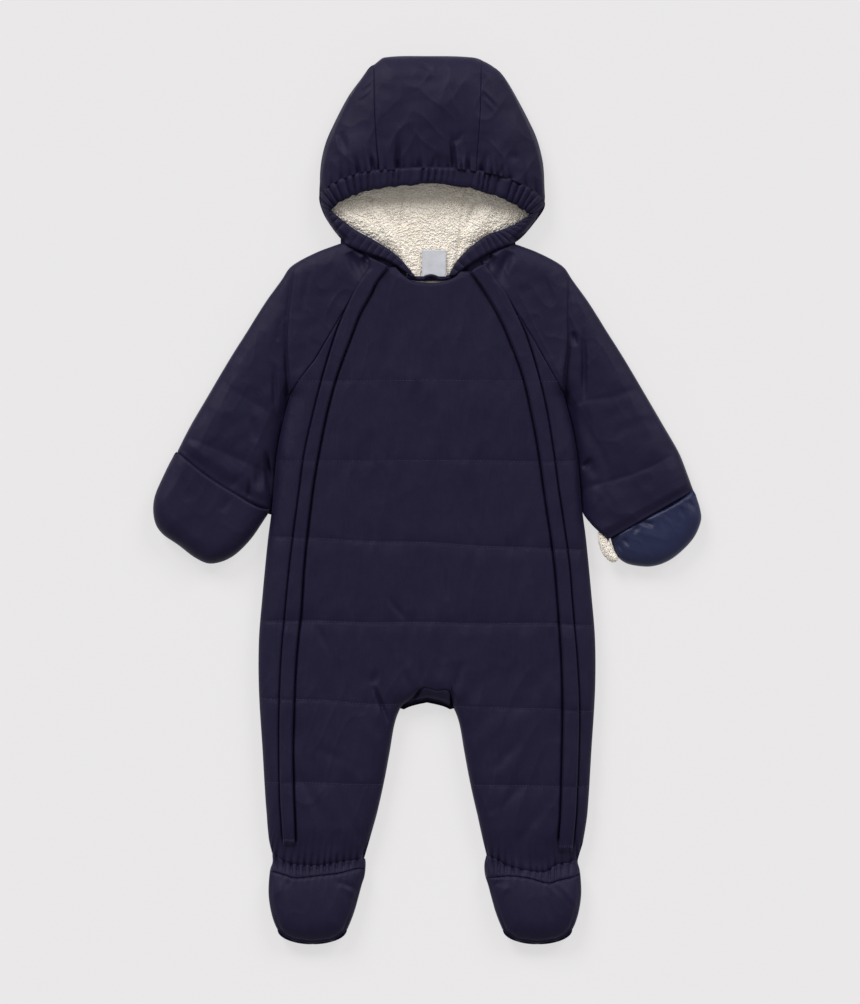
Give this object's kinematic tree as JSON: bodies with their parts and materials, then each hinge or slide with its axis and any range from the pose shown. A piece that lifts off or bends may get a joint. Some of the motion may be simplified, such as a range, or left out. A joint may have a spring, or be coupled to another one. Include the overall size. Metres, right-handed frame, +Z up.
{
  "type": "baby snowsuit",
  "caption": "Padded baby snowsuit with hood, feet and fold-over mittens, zipped up and laid flat on its back.",
  "frame": {"origin": "on the table, under the middle of the suit's outline", "axes": "+Y from the feet to the hood, +X to the right seen from above, +Z up from the table"},
  "size_m": [0.5207, 0.8439, 0.0357],
  "materials": {
    "shell": "dark navy woven polyester with a soft sheen",
    "plush": "cream curly plush",
    "satin": "smooth blue-navy lining cloth",
    "label": "pale grey woven ribbon, bare"
  },
  "bodies": {
    "root": {"hood_centre": "shell", "hood_side_left": "shell", "hood_side_right": "shell", "face_band": "shell", "hanger_loop": "shell", "front_centre": "shell", "front_side_left": "shell", "front_side_right": "shell", "zip_left": "shell", "zip_right": "shell", "zip_flap_left": "shell", "zip_flap_right": "shell", "back_panel": "shell", "crotch_gusset": "shell", "sleeve_left": "shell", "sleeve_right": "shell", "mitten_left_flap": "shell", "mitten_left_back": "shell", "mitten_right_shell": "shell", "ankle_band_left": "shell", "ankle_band_right": "shell", "foot_upper_left": "shell", "foot_upper_right": "shell", "foot_sole_left": "shell", "foot_sole_right": "shell", "lining_left": "plush", "lining_centre": "plush", "lining_right": "plush", "mitten_right_plush": "plush", "mitten_right_lining": "satin", "neck_label": "label"}
  },
  "joints": []
}
